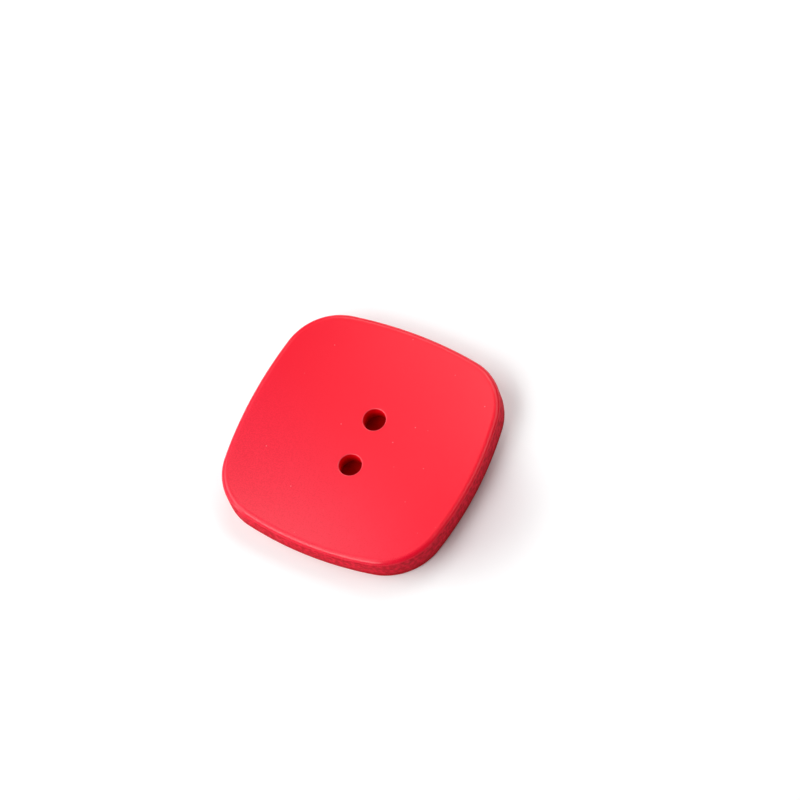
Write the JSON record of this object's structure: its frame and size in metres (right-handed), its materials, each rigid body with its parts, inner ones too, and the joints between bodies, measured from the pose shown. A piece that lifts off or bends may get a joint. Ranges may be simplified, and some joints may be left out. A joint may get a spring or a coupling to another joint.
{
  "type": "two-hole square button",
  "caption": "Rounded-square sew-through button with a dished face, softly rounded edges and two thread holes.",
  "frame": {"origin": "middle of the flat back", "axes": "+Z out of the dished face, +Y along the line through the two thread holes, +X along the other pair of sides"},
  "size_m": [0.025, 0.025, 0.0028],
  "materials": {
    "button": "satin polished face and edge, frosted side wall"
  },
  "bodies": {
    "root": {"button": "button"}
  },
  "joints": []
}
